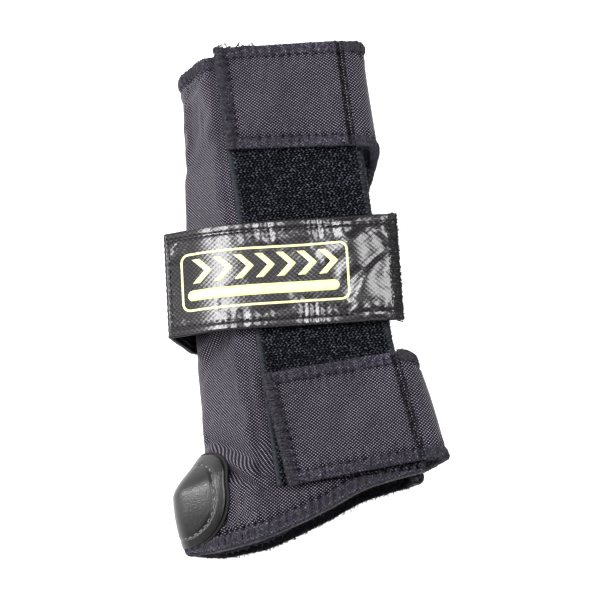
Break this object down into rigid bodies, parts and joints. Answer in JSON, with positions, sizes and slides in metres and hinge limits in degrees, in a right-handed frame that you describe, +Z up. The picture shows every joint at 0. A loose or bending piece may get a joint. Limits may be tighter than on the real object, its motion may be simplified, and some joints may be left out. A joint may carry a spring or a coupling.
{
  "type": "wrist guard",
  "caption": "Padded snowboard wrist guard sleeve with sewn-in splints, two hook-and-loop wing flaps and an elastic wrist strap, lying closed on its back.",
  "frame": {"origin": "centre of the bounding box, on the surface the guard lies on", "axes": "+Y along the forearm, away from the fingers; +Z up through the closure on the back of the hand; +X towards the thumb side"},
  "size_m": [0.1062, 0.196, 0.0516],
  "materials": {
    "nylon": "woven, satin",
    "terry_lining": "matte loops",
    "foam": "matte, open cell",
    "splint_plastic": "moulded",
    "edge_thread": "overlocked thread",
    "loop_tape": "matte loops",
    "hook_tape": "moulded hooks",
    "coated_cover": "embossed, glossy",
    "webbing": "woven",
    "elastic": "ribbed elastic",
    "leather": "pebbled, satin",
    "print_ink": "screen print"
  },
  "bodies": {
    "root": {"outer_shell": "nylon", "foam_padding": "foam", "inner_lining": "terry_lining", "dorsal_splint": "splint_plastic", "palm_splint": "splint_plastic", "forearm_binding": "edge_thread", "hand_binding": "edge_thread", "loop_panel": "loop_tape", "heel_patch_underlay": "leather", "heel_patch": "leather", "strap_anchor": "elastic"},
    "upper_wing": {"upper_wing_shell": "nylon", "upper_wing_lining": "terry_lining"},
    "upper_flap": {"upper_flap_fabric": "nylon", "upper_flap_hook_tape": "hook_tape"},
    "lower_wing": {"lower_wing_shell": "nylon", "lower_wing_lining": "terry_lining"},
    "lower_flap": {"lower_flap_fabric": "nylon", "lower_flap_hook_tape": "hook_tape"},
    "strap_side": {"strap_elastic": "elastic"},
    "wrist_strap": {"strap_cover": "coated_cover", "strap_webbing": "webbing", "strap_hook_tape": "hook_tape", "strap_print": "print_ink"}
  },
  "joints": [
    {"name": "upper_wing_open", "type": "hinge", "parent": "root", "child": "upper_wing", "pos_m": [0.03589, 0.06643, 0.01], "axis": [0, 1, 0], "range_deg": [0, 85]},
    {"name": "upper_flap_peel", "type": "hinge", "parent": "upper_wing", "child": "upper_flap", "pos_m": [0.03339, 0.07343, 0.0507], "axis": [0, 1, 0], "range_deg": [0, 95]},
    {"name": "lower_wing_open", "type": "hinge", "parent": "root", "child": "lower_wing", "pos_m": [0.04077, -0.05357, 0.01], "axis": [-0.1556, 0.9878, 0], "range_deg": [0, 85]},
    {"name": "lower_flap_peel", "type": "hinge", "parent": "lower_wing", "child": "lower_flap", "pos_m": [0.04161, -0.05357, 0.0507], "axis": [-0.1376, 0.9905, 0], "range_deg": [0, 95]},
    {"name": "strap_elastic_swing", "type": "hinge", "parent": "root", "child": "strap_side", "pos_m": [-0.03904, 0.00605, 0.0007], "axis": [-0.061, -0.9981, 0], "range_deg": [0, 64]},
    {"name": "strap_open", "type": "hinge", "parent": "strap_side", "child": "wrist_strap", "pos_m": [-0.04732, 0.00656, 0.0402], "axis": [-0.061, -0.9981, 0], "range_deg": [0, 90]}
  ]
}
